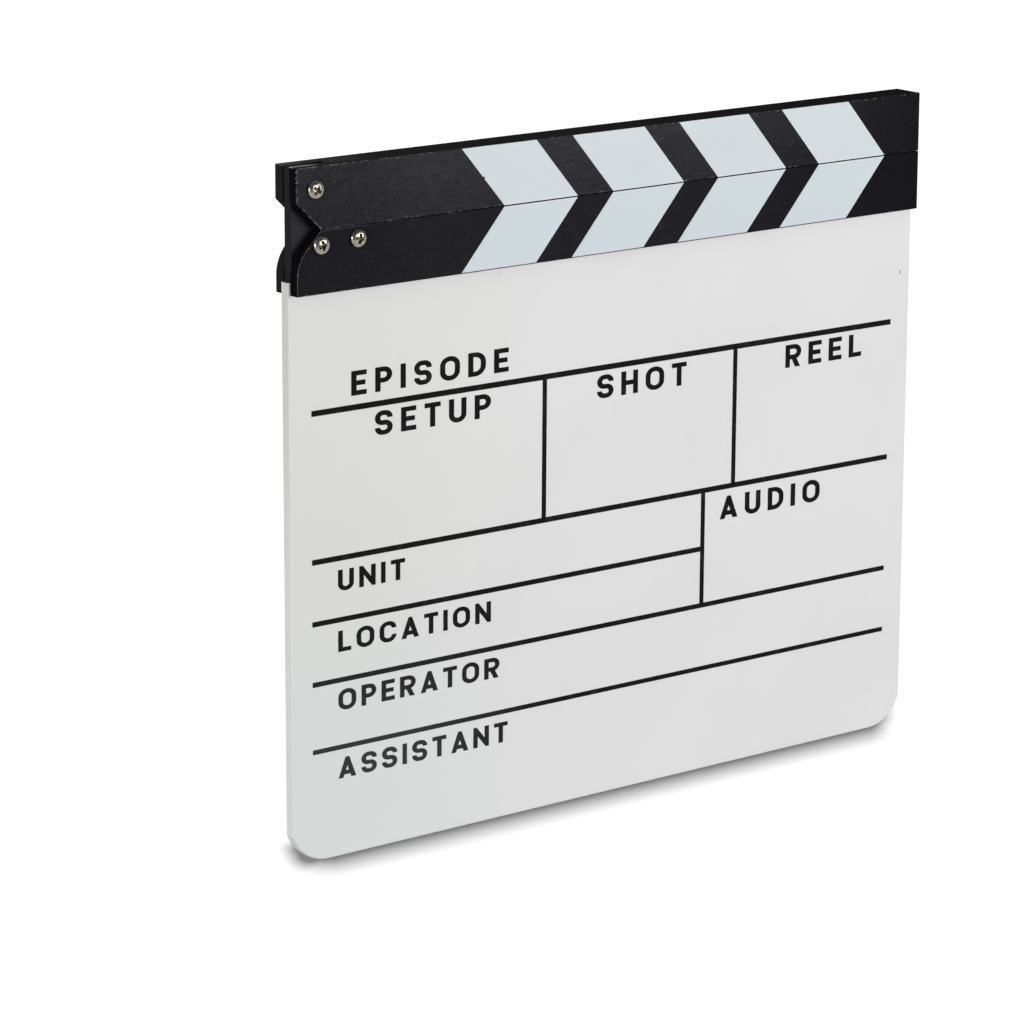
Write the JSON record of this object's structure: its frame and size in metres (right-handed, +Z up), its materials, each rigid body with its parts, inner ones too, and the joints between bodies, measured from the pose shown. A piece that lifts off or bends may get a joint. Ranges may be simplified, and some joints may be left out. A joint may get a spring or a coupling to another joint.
{
  "type": "clapperboard",
  "caption": "White film slate with black chevron-striped clap sticks along its top; the upper stick swings up on a screw pivot at one end and claps shut on the lower stick.",
  "frame": {"origin": "middle of the board's bottom edge, at the board's mid-thickness", "axes": "+X along the sticks away from the hinge, +Y from the printed front to the back, +Z up"},
  "size_m": [0.3, 0.0156, 0.26],
  "materials": {
    "white_lacquer": "satin white lacquer on fibreboard",
    "black_paint": "matte black paint on fibreboard",
    "black_plate": "matte black paint on fibreboard",
    "nickel": "nickel-plated steel",
    "white_film": "smooth white film"
  },
  "bodies": {
    "slate": {"slate_board": "white_lacquer", "lower_stick_front": "black_paint", "lower_stick_core": "black_paint", "lower_stick_back": "black_paint", "hinge_plate": "black_plate", "hinge_screw_outer": "nickel", "hinge_screw_inner": "nickel", "lower_stripe_1": "white_film", "lower_stripe_2": "white_film", "lower_stripe_3": "white_film", "lower_stripe_4": "white_film"},
    "clap_stick": {"upper_stick_front": "black_paint", "upper_stick_core": "black_paint", "upper_stick_back": "black_paint", "pivot_screw": "nickel", "upper_stripe_1": "white_film", "upper_stripe_2": "white_film", "upper_stripe_3": "white_film", "upper_stripe_4": "white_film"}
  },
  "joints": [
    {"name": "clap_hinge", "type": "hinge", "parent": "slate", "child": "clap_stick", "pos_m": [-0.1412, 0, 0.25175], "axis": [0, -1, 0], "range_deg": [0, 95]}
  ]
}
